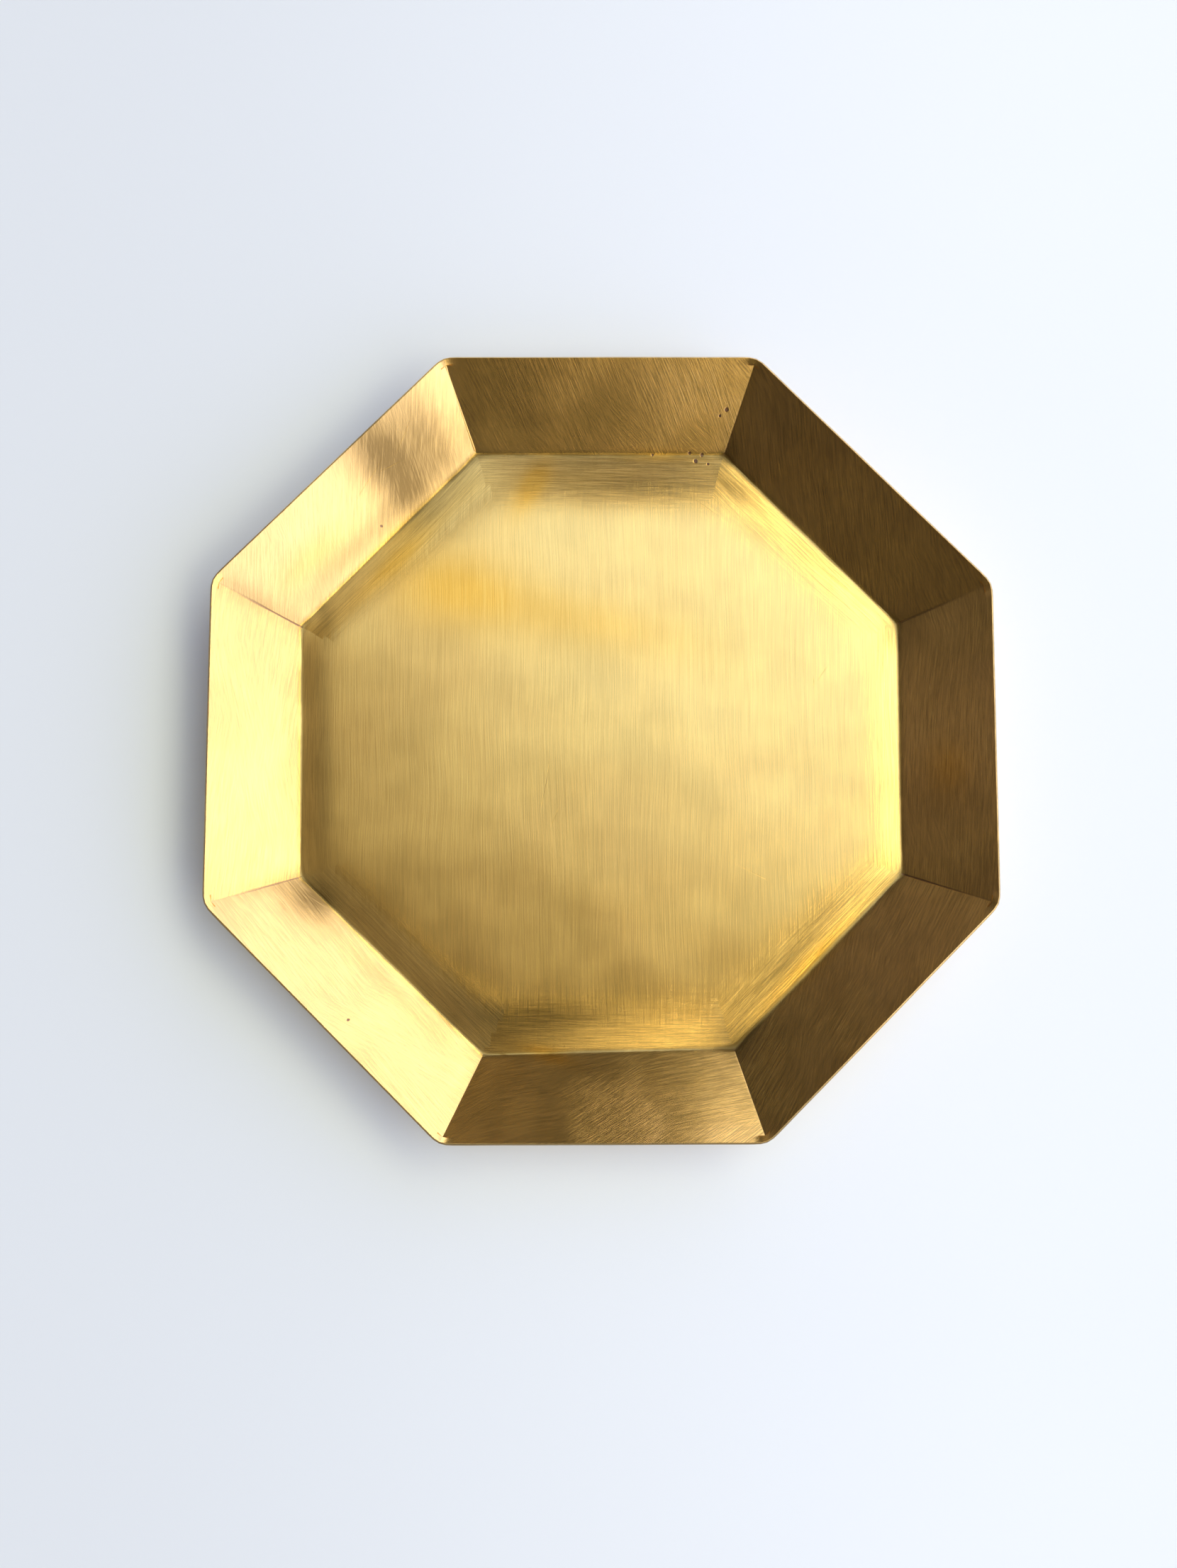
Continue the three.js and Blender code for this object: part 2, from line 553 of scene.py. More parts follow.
def soft_marks(point, marks):
    total = 0.0
    for x, y, long, wide, heading, strength in marks:
        turn = math.radians(heading)
        dx, dy = point.x / MM - x, point.y / MM - y
        along = (dx * math.cos(turn) + dy * math.sin(turn)) / long
        across = (-dx * math.sin(turn) + dy * math.cos(turn)) / wide
        total += strength * math.exp(-(along**2) - across**2)
    return min(total, 1.0)


def mark_maps(obj):
    """Where the brass is darker, from stains and from painted shade, where it is warmer, and how
    open its mitres are.
    """
    mesh = obj.data
    for name in ("line", "dark", "warm"):
        mesh.attributes.new(name, "FLOAT", "POINT")
    line, dark, warm = (mesh.attributes[name].data for name in ("line", "dark", "warm"))
    for vert in mesh.vertices:
        line[vert.index].value = MITRE_LINES[nearest_corner(vert.co)[0]]
        dark[vert.index].value = soft_marks(vert.co, DARK_MARKS_AND_SHADE)
        warm[vert.index].value = soft_marks(vert.co, WARMTHS)


class OBJECT_OT_brass_sheet(bpy.types.Operator):
    """The one sheet of brass: raised floor, bends and eight flaps"""

    bl_idname = "object.brass_sheet"
    bl_label = "Brass Sheet"

    def execute(self, context):
        s = sizes()
        obj = sheet_cage(s)
        crease_folds(obj)
        bpy.ops.object.mode_set(mode="OBJECT")
        levels = s.detail
        apply_modifier(obj, "SUBSURF", levels=levels, render_levels=levels)
        ripple(obj, s)
        brush_maps(obj, s)
        apply_modifier(
            obj,
            "SOLIDIFY",
            thickness=s.sheet,
            offset=-1,
            use_even_offset=True,
        )
        soften_rim(obj, s)
        fit_box(obj, TRAY_LOW, TRAY_HIGH)
        mark_maps(obj)
        bpy.ops.object.shade_smooth_by_angle(angle=math.radians(20))
        obj.data.materials.clear()
        obj.data.materials.append(brushed_brass())
        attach(obj, "root")
        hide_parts("tray_sheet")
        return {"FINISHED"}


# ---- The braze in the mitres ------------------------------------------------------

SEAM_STEPS = 12
SEAM_SECTION = 12  # points round a seam's section
# How proud each seam stands of the brass at the floor end, and half its width there,
# in mm. One was left as a ridge and filed bright.
SEAM_PROUD = (0.10, 0.08, 0.30, 0.08, 0.08, 0.06, 0.06, 0.10)
SEAM_HALF = (0.22, 0.20, 0.55, 0.22, 0.22, 0.18, 0.18, 0.24)
FILED = 2
# Height over the brass at the rim end, in mm: of a seam, which has sunk, and the filed one.
SUNK = -0.25
FILED_CROWN = 0.05
FADE_BY = 0.8  # the share of a seam's length over which it sinks
BEAD_HALF = 1.8  # the bead on the back: how much wider than the seam on each side,
BEAD_DEEP = 0.7  # and how far it stands out, in mm
RIM_MARGIN = 1.2  # how far inside the rim a seam stops, in mm


def seam_ends(corner, s):
    """Where a mitre's line starts at the floor and stops at the rim, in plan."""
    last = len(tray_rings(s)) - 1
    angle = corner_angle(corner)
    out = Vector((math.cos(angle), math.sin(angle)))
    side = Vector((-out.y, out.x))
    fold = tray_rings(s)[FOLD_RING][0] / math.cos(TURN / 2)
    rim = s.rim / math.cos(TURN / 2)
    start = out * fold + side * corner_drift(corner, FOLD_RING)
    end = out * rim + side * corner_drift(corner, last)
    return start, end


def drop_onto(surface, plan):
    """The point of the surface under a place in plan, or None outside the rim."""
    return surface.ray_cast(Vector((plan.x, plan.y, 1)), Vector((0, 0, -1)))[0]


def inside_rim(surface, start, end):
    """Draws the end of a line in until it is just inside the rim."""
    along = (end - start).normalized()
    while drop_onto(surface, end + along * RIM_MARGIN * MM) is None:
        end = end - along * 0.2 * MM
    return end


def seam_body(corner, s, surface):
    start, end = seam_ends(corner, s)
    end = inside_rim(surface, start, end)
    along = (end - start).normalized()
    heading = math.atan2(along.y, along.x)
    bpy.ops.mesh.primitive_circle_add(
        vertices=SEAM_SECTION,
        radius=1,
        fill_type="NGON",
        rotation=(math.pi / 2, 0, heading + math.pi / 2),
    )
    obj = start_piece(f"mitre_braze_{corner + 1}")
    proud = SEAM_PROUD[corner] * MM
    deep = s.sheet / math.cos(flap_slope(s))
    across = Vector((-along.y, along.x, 0))

    def place(step):
        share = step / SEAM_STEPS
        return drop_onto(surface, start.lerp(end, share)), share

    def section(point, share):
        """Moves the selected ring to the section of a bead at this place."""
        fade = max(0.0, 1 - share / FADE_BY)
        rim_crown = FILED_CROWN if corner == FILED else SUNK
        crown = proud * fade + rim_crown * MM * (1 - fade)
        half = SEAM_HALF[corner] * MM
        bead = BEAD_HALF * MM * min(1, 6 * share, 8 * (1 - share)) + half
        back = BEAD_DEEP * MM * min(1, 5 * share, 8 * (1 - share))
        shape = bmesh.from_edit_mesh(obj.data)
        ring = [vert for vert in shape.verts if vert.select]
        middle = sum((vert.co for vert in ring), Vector()) / len(ring)
        scale = max((vert.co - middle).length for vert in ring)
        for vert in ring:
            offset = (vert.co - middle) / scale
            sideways, up = offset.dot(across), offset.z
            low = (1 - up) / 2
            width = half + (bead - half) * low**2
            height = crown - (crown + deep + back) * low
            vert.co = point + across * sideways * width + Vector((0, 0, height))
        bmesh.update_edit_mesh(obj.data)

    bpy.ops.mesh.select_all(action="SELECT")
    section(*place(0))
    for step in range(1, SEAM_STEPS + 1):
        bpy.ops.mesh.extrude_region_move()
        flat_ring(obj, across)
        section(*place(step))
    bpy.ops.mesh.select_all(action="SELECT")
    bpy.ops.mesh.remove_doubles(threshold=0.01 * MM)
    bpy.ops.mesh.normals_make_consistent(inside=False)
    bpy.ops.object.mode_set(mode="OBJECT")
    return obj


def flat_ring(obj, across):
    """Turns the selected section back into a circle, ready to be shaped again."""
    shape = bmesh.from_edit_mesh(obj.data)
    ring = [vert for vert in shape.verts if vert.select]
    middle = sum((vert.co for vert in ring), Vector()) / len(ring)
    width = max(abs((vert.co - middle).dot(across)) for vert in ring)
    height = max(vert.co.z for vert in ring) - min(vert.co.z for vert in ring)
    centre = (max(vert.co.z for vert in ring) + min(vert.co.z for vert in ring)) / 2
    for vert in ring:
        up = max(-1.0, min(1.0, (vert.co.z - centre) / (height / 2)))
        side = math.copysign(math.sqrt(1 - up * up), (vert.co - middle).dot(across))
        vert.co = middle + across * side + Vector((0, 0, up))
    bmesh.update_edit_mesh(obj.data)


class OBJECT_OT_mitre_braze(bpy.types.Operator):
    """The run of braze that closes each of the eight mitres"""

    bl_idname = "object.mitre_braze"
    bl_label = "Mitre Braze"

    def execute(self, context):
        s = sizes()
        sheet = bpy.data.objects["brass_sheet"]
        surface = BVHTree.FromObject(sheet, context.evaluated_depsgraph_get())
        metal = braze_metal("braze", finish().braze)
        filed = braze_metal("filed_braze", finish().brass)
        for corner in range(SIDES):
            obj = seam_body(corner, s, surface)
            apply_modifier(obj, "SUBSURF", levels=1, render_levels=1)
            bpy.ops.object.shade_smooth()
            obj.data.materials.append(filed if corner == FILED else metal)
            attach(obj, "root")
            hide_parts(f"mitre_seam_{corner + 1}")
        return {"FINISHED"}


# ---- Finishes -----------------------------------------------------------------------


def new_material(name):
    material = bpy.data.materials.new(name)
    material.use_nodes = True
    nodes = material.node_tree.nodes
    nodes.clear()
    shader = nodes.new("ShaderNodeBsdfPrincipled")
    output = nodes.new("ShaderNodeOutputMaterial")
    material.node_tree.links.new(shader.outputs["BSDF"], output.inputs["Surface"])
    return material, shader


class Nodes:
    """Short names for adding and joining the nodes of one tree."""

    def __init__(self, tree):
        self.tree = tree

    def add(self, kind, **settings):
        node = self.tree.nodes.new(kind)
        for key, value in settings.items():
            setattr(node, key, value)
        return node

    def join(self, source, target):
        self.tree.links.new(source, target)

    def put(self, value, target):
        if isinstance(value, bpy.types.NodeSocket):
            self.join(value, target)
        else:
            target.default_value = value

    def math(self, operation, first, second=0.0, third=0.0, clamp=False):
        node = self.add("ShaderNodeMath", operation=operation, use_clamp=clamp)
        for value, socket in zip((first, second, third), node.inputs):
            self.put(value, socket)
        return node.outputs[0]

    def range(self, value, low, high, to_low=0.0, to_high=1.0, smooth=True):
        node = self.add("ShaderNodeMapRange")
        node.interpolation_type = "SMOOTHSTEP" if smooth else "LINEAR"
        for item, socket in zip((value, low, high, to_low, to_high), node.inputs):
            self.put(item, socket)
        return node.outputs[0]

    def mix(self, share, first, second, blend="MIX"):
        node = self.add("ShaderNodeMix", data_type="RGBA", blend_type=blend)
        self.put(share, node.inputs[0])
        self.put(first, node.inputs[6])
        self.put(second, node.inputs[7])
        return node.outputs[2]

    def blend(self, share, first, second):
        node = self.add("ShaderNodeMix", data_type="FLOAT")
        self.put(share, node.inputs[0])
        self.put(first, node.inputs[2])
        self.put(second, node.inputs[3])
        return node.outputs[0]

    def noise(self, vector, scale, detail=2.0, roughness=0.5, stretch=(1, 1, 1), shift=0.0):
        mapping = self.add("ShaderNodeMapping")
        mapping.inputs["Scale"].default_value = stretch
        mapping.inputs["Location"].default_value = (shift, shift, shift)
        self.join(vector, mapping.inputs["Vector"])
        node = self.add("ShaderNodeTexNoise")
        self.join(mapping.outputs[0], node.inputs["Vector"])
        node.inputs["Scale"].default_value = scale
        node.inputs["Detail"].default_value = detail
        node.inputs["Roughness"].default_value = roughness
        return node.outputs["Fac"]


def rgba(colour):
    return (*colour, 1.0)


def brush_marks(n, uv, length, width, shift=0.0):
    """Strokes of about this length and width along U of a map, wavering a little."""
    waver = n.noise(uv, 18, detail=1, shift=shift)
    bend = n.add("ShaderNodeCombineXYZ")
    n.join(n.math("MULTIPLY", n.math("SUBTRACT", waver, 0.5), 4 * MM), bend.inputs["Y"])
    moved = n.add("ShaderNodeVectorMath", operation="ADD")
    n.join(uv, moved.inputs[0])
    n.join(bend.outputs[0], moved.inputs[1])
    bent = moved.outputs[0]
    broad = n.noise(bent, 1, 2, 0.7, (0.9 / length, 0.9 / width, 1), shift + 1.3)
    fine = n.noise(bent, 1, 2, 0.6, (1.5 / length, 2.4 / width, 1), shift + 7.3)
    broad = n.range(broad, 0.32, 0.68, smooth=False)
    fine = n.range(fine, 0.32, 0.68, smooth=False)
    return n.math("ADD", n.math("MULTIPLY", broad, 0.55), n.math("MULTIPLY", fine, 0.45))


def turned(n, uv, angle):
    node = n.add("ShaderNodeVectorRotate", rotation_type="Z_AXIS")
    n.join(uv, node.inputs["Vector"])
    node.inputs["Angle"].default_value = angle
    return node.outputs[0]


# Single deeper scratches: (x, y, length, heading in degrees, width), in mm.
SCRATCHES = (
    (-18, -12, 21, 82, 0.16),
    (-15, -22, 9, 70, 0.12),
    (71, 24, 7, 58, 0.22),
    (68, 21, 4, 95, 0.18),
    (34, 78, 12, -32, 0.14),
    (-62, 96, 13, 66, 0.16),
    (-72, 84, 16, 58, 0.14),
    (-66, 88, 9, 35, 0.14),
    (48, -40, 15, -24, 0.12),
    (14, -101, 18, 14, 0.14),
    (104, 14, 12, 96, 0.14),
)


# Single dark pits in the brass: (x, y, radius), in mm.
PITS = (
    (40, 107, 0.75),
    (38, 105.5, 0.5),
    (31, 93.5, 0.9),
    (33, 95.5, 0.7),
    (29, 96, 0.6),
    (35, 92.5, 0.55),
    (17, 95.5, 0.5),
    (-77, -83, 0.5),
    (-70, 71, 0.45),
)


def pit_marks(n, place):
    """1 in each single pit, and 0 elsewhere."""
    total = 0.0
    for x, y, radius in PITS:
        flat = n.add("ShaderNodeVectorMath", operation="MULTIPLY")
        n.join(place, flat.inputs[0])
        flat.inputs[1].default_value = (1, 1, 0)
        away = n.add("ShaderNodeVectorMath", operation="DISTANCE")
        n.join(flat.outputs[0], away.inputs[0])
        away.inputs[1].default_value = (x * MM, y * MM, 0)
        here = n.range(away.outputs["Value"], radius * MM, 0.6 * radius * MM)
        total = n.math("MAXIMUM", here, total)
    return total


def scratches(n, place):
    """1 along each single scratch, with tapering ends, and 0 elsewhere."""
    total = 0.0
    for x, y, length, heading, width in SCRATCHES:
        mapping = n.add("ShaderNodeMapping", vector_type="TEXTURE")
        mapping.inputs["Location"].default_value = (x * MM, y * MM, 0)
        mapping.inputs["Rotation"].default_value = (0, 0, math.radians(heading))
        n.join(place, mapping.inputs["Vector"])
        split = n.add("ShaderNodeSeparateXYZ")
        n.join(mapping.outputs[0], split.inputs[0])
        curve = n.math("SINE", n.math("MULTIPLY", split.outputs["X"], 260))
        across = n.math("MULTIPLY_ADD", curve, 0.25 * MM, split.outputs["Y"])
        half = n.range(n.math("ABSOLUTE", split.outputs["X"]), length / 2 * MM, 0, 0, width * MM)
        near = n.range(n.math("ABSOLUTE", across), half, 0.0)
        total = n.math("MAXIMUM", near, total)
    return total


BUMP = 0.03  # how deep the relief of a finish is, in mm


def emboss(n, shader, height, strength):
    """Gives the surface the relief of a height."""
    bump = n.add("ShaderNodeBump")
    bump.inputs["Strength"].default_value = strength
    bump.inputs["Distance"].default_value = BUMP * MM
    n.join(height, bump.inputs["Height"])
    n.join(bump.outputs[0], shader.inputs["Normal"])


def brushed_brass():
    """Satin brass: straight strokes on the floor, strokes round its edge, worked flaps."""
    look = finish()
    material, shader = new_material("brushed_brass")
    n = Nodes(material.node_tree)
    place = n.add("ShaderNodeTexCoord").outputs["Object"]
    lay = n.add("ShaderNodeUVMap", uv_map="brush").outputs[0]
    round_edge = n.add("ShaderNodeUVMap", uv_map="edge").outputs[0]
    dark = n.add("ShaderNodeAttribute", attribute_name="dark").outputs["Fac"]
    warm = n.add("ShaderNodeAttribute", attribute_name="warm").outputs["Fac"]
    ring = n.add("ShaderNodeAttribute", attribute_name=RING).outputs["Fac"]

    mitre = n.add("ShaderNodeSeparateXYZ")
    n.join(n.add("ShaderNodeUVMap", uv_map="mitre").outputs[0], mitre.inputs[0])
    from_mitre, up_mitre = mitre.outputs[0], mitre.outputs[1]

    ragged = n.noise(place, 70, detail=3, roughness=0.6)
    straight = brush_marks(n, lay, 22 * MM, 0.30 * MM)
    curved = brush_marks(n, round_edge, 12 * MM, 0.45 * MM, 3.0)
    worked = brush_marks(n, lay, 9 * MM, 0.36 * MM, 5.0)
    crossed = brush_marks(n, turned(n, lay, 0.35), 8 * MM, 0.36 * MM, 9.0)
    patches = n.range(n.noise(place, 38, detail=1, shift=4.0), 0.42, 0.66)
    worked = n.blend(n.math("MULTIPLY", patches, 0.8), worked, crossed)
    loose = n.math("SUBTRACT", straight, 0.5)
    near_edge = n.range(n.math("MULTIPLY_ADD", loose, 1.2, ring), 0.1, 2.0)
    on_flap = n.range(ring, 3.9, 4.1)
    at_edge = n.math("MULTIPLY", near_edge, n.math("SUBTRACT", 1.0, on_flap))
    at_edge = n.math("MULTIPLY", at_edge, 0.85)
    marks = n.blend(on_flap, n.blend(at_edge, straight, curved), worked)
    axes = n.add("ShaderNodeSeparateXYZ")
    n.join(place, axes.inputs[0])
    # Painted shade and relief: the strokes on the flaps and round the floor's edge are darker and
    # deeper toward +X.
    depth_and_shade_by_x = n.range(axes.outputs["X"], -60 * MM, 40 * MM, 0.65, 1.25)
    mark_depth_and_shade = n.blend(n.math("MAXIMUM", on_flap, at_edge), 0.42, depth_and_shade_by_x)
    scratch = scratches(n, place)

    cloud = n.noise(place, 16, detail=3, roughness=0.55)
    smear = n.noise(place, 55, detail=2, roughness=0.5, shift=2.0)
    tarnished = n.range(cloud, 0.35, 0.75, 0.0, 0.40)
    colour = n.mix(tarnished, rgba(look.brass), rgba(look.tarnish))
    broken = n.range(marks, 0.2, 0.8, 1.2, 0.84, smooth=False)
    colour = n.mix(n.math("MULTIPLY", warm, broken, clamp=True), colour, rgba(look.warm))
    darkest = n.math("MULTIPLY_ADD", mark_depth_and_shade, -0.27, 1.0)
    tone = n.range(marks, 0.15, 0.85, darkest, 1.10, smooth=False)
    tone = n.math("MULTIPLY", tone, n.range(smear, 0.3, 0.7, 0.94, 1.04))
    grey = n.add("ShaderNodeCombineColor")
    for socket in grey.inputs:
        n.join(tone, socket)
    colour = n.mix(1.0, colour, grey.outputs[0], "MULTIPLY")

    # Darker brass along the bends, in the handling and heat marks and in the heat stain beside the
    # mitres, and painted shade: the broad darker stretches and the rim's cut edge.
    fold = n.range(n.math("ABSOLUTE", n.math("SUBTRACT", ring, FOLD_RING)), 0.55, 0.0)
    stain_and_shade_mask = n.math("MULTIPLY", fold, n.range(ragged, 0.30, 0.62, 0.2, 0.6))
    stain_and_shade_mask = n.math("ADD", stain_and_shade_mask, n.math("MULTIPLY", dark, broken), clamp=True)
    inner = n.math("MULTIPLY", n.range(up_mitre, 1.0, 0.2), on_flap)
    beside = n.math("MULTIPLY", n.range(from_mitre, 5 * MM, 0), n.range(ragged, 0.3, 0.7, 0.1, 0.5))
    stain_and_shade_mask = n.math("MULTIPLY_ADD", beside, n.math("MULTIPLY", inner, 0.6), stain_and_shade_mask)
    # Painted shade: the cut edge of the rim is painted darker toward -X and -Y, away from the
    # light.
    last = len(tray_rings(sizes())) - 1
    shaded_rim_edge = n.range(ring, last - 0.03, last - 0.01)
    corner_way = n.math("ADD", axes.outputs["X"], axes.outputs["Y"])
    shaded_rim_edge = n.math("MULTIPLY", shaded_rim_edge, n.range(corner_way, 20 * MM, -70 * MM, 0.1, 0.9))
    stain_and_shade_mask = n.math("MINIMUM", n.math("MAXIMUM", stain_and_shade_mask, shaded_rim_edge), 1.0)
    colour = n.mix(stain_and_shade_mask, colour, rgba(look.stain))
    hairline = n.range(from_mitre, n.range(ragged, 0.3, 0.7, 0.25 * MM, 0.65 * MM), 0.08 * MM)
    hairline = n.math("MULTIPLY", hairline, n.range(up_mitre, 0.8, 0.3, 0.15, 1.0))
    open_line = n.add("ShaderNodeAttribute", attribute_name="line").outputs["Fac"]
    hairline = n.math("MULTIPLY", hairline, n.math("MULTIPLY", on_flap, open_line))
    colour = n.mix(hairline, colour, rgba(look.braze))

    pits = n.add("ShaderNodeTexVoronoi", feature="F1")
    n.join(place, pits.inputs["Vector"])
    pits.inputs["Scale"].default_value = 150
    picked = n.math("GREATER_THAN", pits.outputs["Color"], 0.95)
    pit = n.math("MULTIPLY", n.range(pits.outputs["Distance"], 0.06, 0.03), picked)
    pit = n.math("MAXIMUM", n.math("MULTIPLY", pit, 0.8), pit_marks(n, place))
    colour = n.mix(pit, colour, rgba(look.braze))
    colour = n.mix(n.math("MULTIPLY", scratch, 0.40), colour, rgba(look.stain))
    n.join(colour, shader.inputs["Base Color"])

    rough = n.range(smear, 0.3, 0.7, 0.215, 0.235)
    rough = n.math("MULTIPLY_ADD", stain_and_shade_mask, 0.06, rough)
    n.join(rough, shader.inputs["Roughness"])
    shader.inputs["Metallic"].default_value = 1.0
    shader.inputs["Anisotropic"].default_value = 0.75
    shader.inputs["Anisotropic Rotation"].default_value = 0.25
    along_lay = n.add("ShaderNodeTangent", direction_type="UV_MAP", uv_map="brush").outputs[0]
    along_edge = n.add("ShaderNodeTangent", direction_type="UV_MAP", uv_map="edge").outputs[0]
    tangent = n.add("ShaderNodeMix", data_type="VECTOR")
    n.join(at_edge, tangent.inputs[0])
    n.join(along_lay, tangent.inputs[4])
    n.join(along_edge, tangent.inputs[5])
    n.join(tangent.outputs[1], shader.inputs["Tangent"])

    height = n.math("MULTIPLY", marks, mark_depth_and_shade)
    height = n.math("SUBTRACT", height, n.math("MULTIPLY", hairline, 1.5))
    height = n.math("SUBTRACT", height, n.math("MULTIPLY", pit, 2.0))
    height = n.math("SUBTRACT", height, n.math("MULTIPLY", scratch, 0.8))
    emboss(n, shader, height, 0.8)
    return material


def braze_metal(name, metal):
    """Grainy filler metal, or filler filed as bright as the sheet."""
    look = finish()
    material, shader = new_material(name)
    n = Nodes(material.node_tree)
    place = n.add("ShaderNodeTexCoord").outputs["Object"]
    grain = n.noise(place, 900, detail=3)
    cloud = n.noise(place, 120, detail=2)
    colour = n.mix(n.range(cloud, 0.5, 0.85, 0.0, 0.5), rgba(metal), rgba(look.tarnish))
    n.join(colour, shader.inputs["Base Color"])
    n.join(n.range(grain, 0.3, 0.7, 0.35, 0.6), shader.inputs["Roughness"])
    shader.inputs["Metallic"].default_value = 1.0
    emboss(n, shader, grain, 0.6)
    return material


# ---- The stage: pale table, daylight from one side, camera almost straight above ------

# Tints of the light: a dim wall, a warm wall, the window and the sun-lit sky above it.
DIM = (1.0, 0.87, 1.20)
WARM = (1.0, 0.83, 0.72)
DAY = (1.0, 1.06, 2.05)
SUN = (1.0, 0.98, 0.80)
# The room round the tray as its flaps see it: degrees round from +X, strength, tint.
# A tall window takes up the right, and the walls to the left are dim.
ROOM = (
    (-180, 0.07, DIM),
    (-130, 0.05, DIM),
    (-112, 0.05, WARM),
    (-100, 0.05, WARM),
    (-94, 0.04, DIM),
    (-82, 0.03, DIM),
    (-78, 1.50, WARM),
    (-64, 1.10, SUN),
    (-50, 1.90, DAY),
    (-36, 2.00, DAY),
    (-20, 1.45, DAY),
    (62, 1.45, DAY),
    (72, 1.70, DAY),
    (76, 1.75, DAY),
    (81, 1.65, SUN),
    (82.5, 0.05, DIM),
    (95, 0.07, DIM),
    (99, 0.26, WARM),
    (112, 0.26, WARM),
    (121, 0.17, DIM),
    (138, 0.03, DIM),
    (166, 0.05, DIM),
    (173, 0.24, DIM),
    (180, 0.08, DIM),
)
# The ceiling, from its dim front-left corner to its window side: place, colour.
CEILING = (
    (0.0, (0.22, 0.20, 0.18)),
    (0.35, (0.59, 0.57, 0.50)),
    (0.6, (1.00, 1.18, 1.66)),
    (1.0, (1.28, 1.64, 2.90)),
)


def tinted(strength, tint):
    return tuple(strength * part for part in tint)


def ramp(n, value, stops):
    """A colour ramp through (place, colour) stops."""
    node = n.add("ShaderNodeValToRGB")
    elements = node.color_ramp.elements
    while len(elements) < len(stops):
        elements.new(0.5)
    for element, (place, colour) in zip(elements, stops):
        element.position = place
        element.color = rgba(colour)
    n.join(value, node.inputs[0])
    return node.outputs[0]


def daylight():
    """Light from a room all round: walls low down, a bright band above them, ceiling."""
    world = bpy.data.worlds.new("daylight")
    bpy.context.scene.world = world
    world.use_nodes = True
    world.node_tree.nodes.clear()
    n = Nodes(world.node_tree)
    way = n.add("ShaderNodeTexCoord").outputs["Generated"]
    split = n.add("ShaderNodeSeparateXYZ")
    n.join(way, split.inputs[0])
    x, y, z = split.outputs
    turn = n.math("MULTIPLY_ADD", n.math("ARCTAN2", y, x), 0.5 / math.pi, 0.5)
    walls = ramp(n, turn, [(d / 360 + 0.5, tinted(v, tint)) for d, v, tint in ROOM])
    toward = n.math("COSINE", n.math("SUBTRACT", n.math("ARCTAN2", y, x), math.radians(8)))
    high_window = n.range(toward, 0.35, 0.75)
    upper = n.mix(high_window, rgba(tinted(0.14, WARM)), rgba(tinted(5.5, SUN)))
    height = n.math("MULTIPLY", n.math("ARCSINE", z), 180 / math.pi)
    light = n.mix(n.range(height, 36, 41), walls, upper)
    in_front = n.math("MULTIPLY", n.math("MINIMUM", y, 0), 0.6)
    diagonal = n.math("MULTIPLY_ADD", n.math("MINIMUM", x, 0.26), 0.9, y)
    diagonal = n.math("ADD", diagonal, in_front)
    ceiling = ramp(n, n.range(diagonal, -0.22, 0.36, smooth=False), CEILING)
    # What shows against the ceiling: a dim stretch behind, boards, a person and a lamp.
    behind = n.math("MULTIPLY", n.range(y, 0.33, 0.41), n.range(x, -0.14, -0.04))
    ceiling = n.mix(behind, ceiling, (0.30, 0.24, 0.17, 1))
    boards = n.noise(way, 1, detail=1, stretch=(2, 22, 2))
    ceiling = n.mix(n.range(boards, 0.45, 0.65, 0.0, 0.22), ceiling, (0.30, 0.27, 0.22, 1))
    person = n.math("MULTIPLY", n.range(y, -0.17, -0.25), n.range(x, 0.07, -0.01))
    ceiling = n.mix(person, ceiling, (0.13, 0.11, 0.10, 1))
    lamp = n.math("MULTIPLY", n.range(y, -0.18, -0.26), n.range(x, 0.02, 0.09))
    lamp = n.math("MULTIPLY", lamp, n.range(x, 0.20, 0.14))
    ceiling = n.mix(lamp, ceiling, (2.70, 2.50, 1.90, 1))
    light = n.mix(n.range(height, 52, 58), light, ceiling)
    background = n.add("ShaderNodeBackground")
    n.join(light, background.inputs["Color"])
    output = n.add("ShaderNodeOutputWorld")
    n.join(background.outputs[0], output.inputs["Surface"])


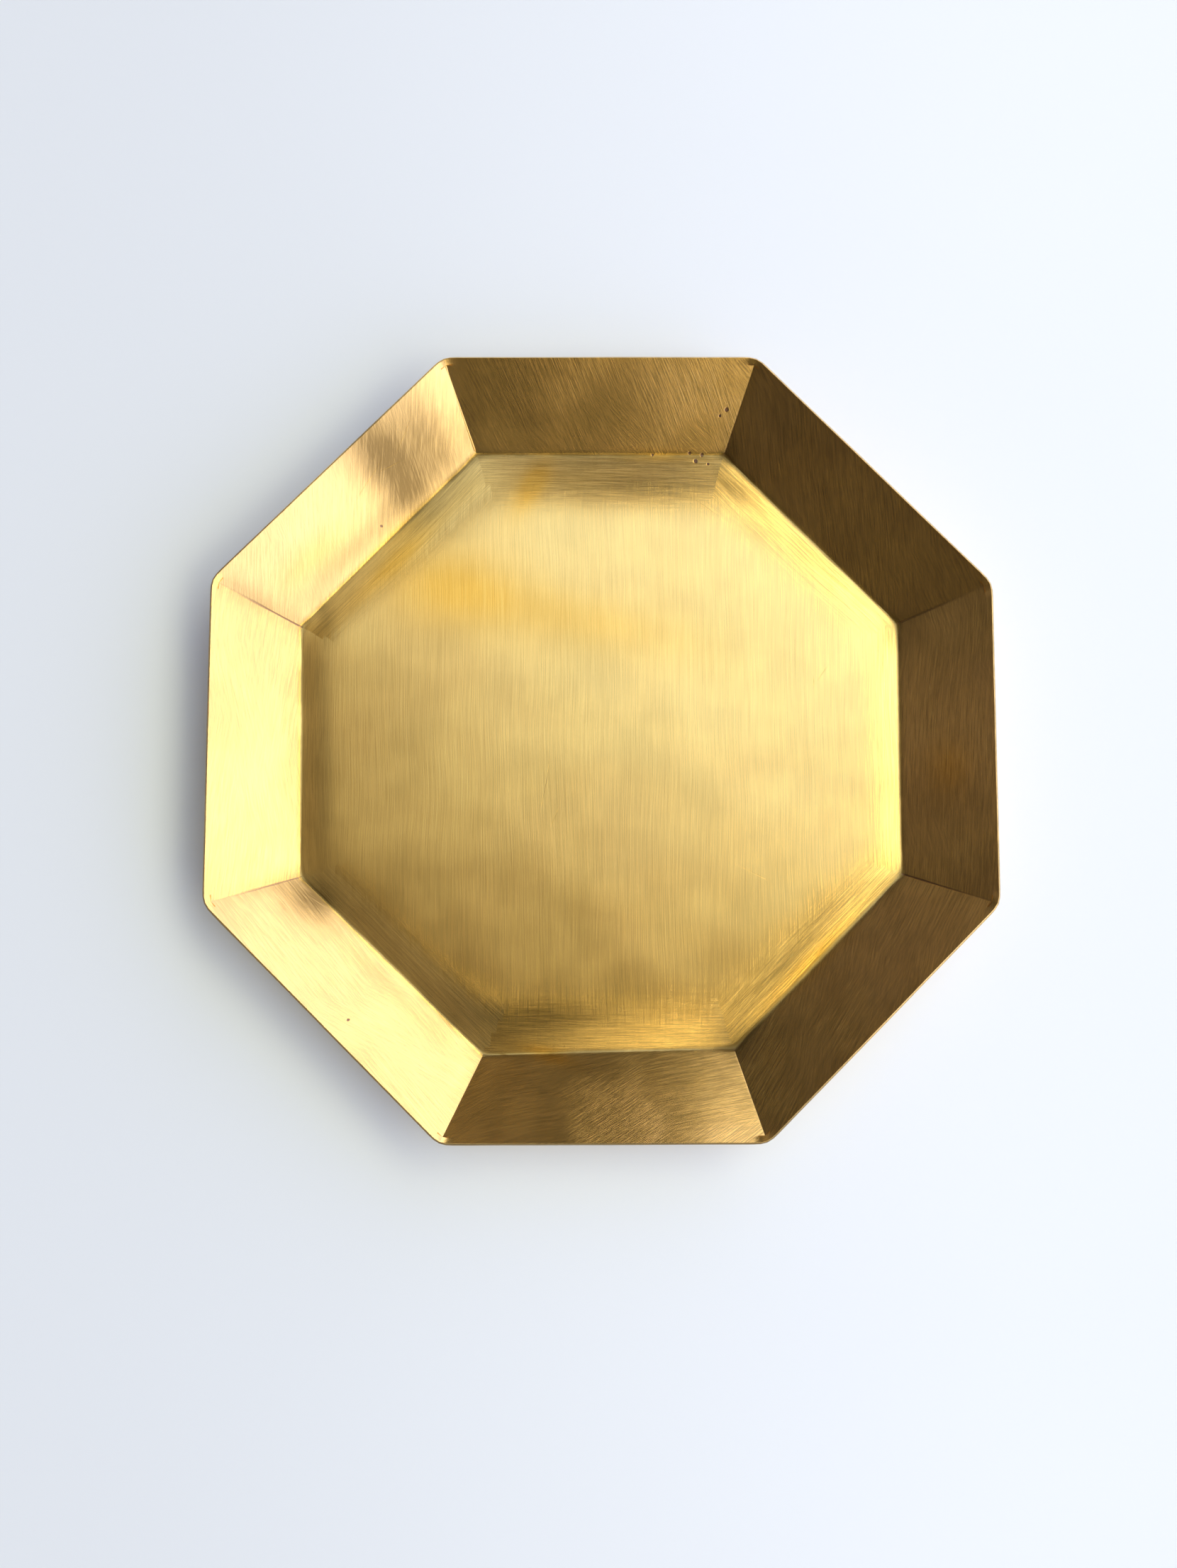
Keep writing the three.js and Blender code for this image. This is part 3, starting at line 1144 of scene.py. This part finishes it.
def table_top():
    """A pale table with painted shade: a little darker on the side away from the window."""
    bpy.ops.mesh.primitive_plane_add(size=4)
    table = bpy.context.active_object
    table.name = "table"
    material, shader = new_material("painted_board")
    n = Nodes(material.node_tree)
    place = n.add("ShaderNodeTexCoord").outputs["Object"]
    split = n.add("ShaderNodeSeparateXYZ")
    n.join(place, split.inputs[0])
    window_side = n.range(split.outputs["X"], -0.20, 0.16)
    paint = finish().table
    # Painted shade: the colour of the side away from the window, where less of its light falls.
    shaded = tuple(0.84 * part for part in paint)
    colour = n.mix(window_side, rgba(shaded), rgba(paint))
    cloud = n.range(n.noise(place, 7, detail=2), 0.3, 0.7, 0.0, 0.06)
    n.join(n.mix(cloud, colour, rgba(shaded)), shader.inputs["Base Color"])
    shader.inputs["Roughness"].default_value = 0.55
    shader.inputs["Specular IOR Level"].default_value = 0.2
    table.data.materials.append(material)


def camera():
    data = bpy.data.cameras.new("camera")
    data.lens = 25
    data.sensor_width = 36
    eye = bpy.data.objects.new("camera", data)
    eye.location = (-10.2 * MM, -32 * MM, 347.5 * MM)
    eye.rotation_euler = [math.radians(turn) for turn in (3.4, -0.97, -0.26)]
    bpy.context.scene.collection.objects.link(eye)
    bpy.context.scene.camera = eye


class SCENE_OT_tray_stage(bpy.types.Operator):
    """The pale table, the daylight of the room and the camera"""

    bl_idname = "scene.tray_stage"
    bl_label = "Stage"

    def execute(self, context):
        table_top()
        daylight()
        camera()
        context.scene.view_settings.view_transform = "Standard"
        return {"FINISHED"}


# ---- Panel, registration and the run ---------------------------------------------------


class VIEW3D_PT_brass_tray(bpy.types.Panel):
    bl_label = "Brass Tray"
    bl_space_type = "VIEW_3D"
    bl_region_type = "UI"
    bl_category = "Brass Tray"

    def draw(self, context):
        for group in (context.scene.tray_sizes, context.scene.tray_finish):
            for name in group.__annotations__:
                self.layout.prop(group, name)
        for step in STEPS:
            self.layout.operator(step.bl_idname)


STEPS = (OBJECT_OT_brass_sheet, OBJECT_OT_mitre_braze, SCENE_OT_tray_stage)
CLASSES = (TraySizes, TrayFinish, *STEPS, VIEW3D_PT_brass_tray)


def register():
    for item in CLASSES:
        bpy.utils.register_class(item)
    bpy.types.Scene.tray_sizes = PointerProperty(type=TraySizes)
    bpy.types.Scene.tray_finish = PointerProperty(type=TrayFinish)


def unregister():
    del bpy.types.Scene.tray_finish
    del bpy.types.Scene.tray_sizes
    for item in reversed(CLASSES):
        bpy.utils.unregister_class(item)


def main():
    register()
    bpy.ops.object.brass_sheet()
    bpy.ops.object.mitre_braze()
    bpy.ops.scene.tray_stage()


if __name__ == "__main__":
    main()
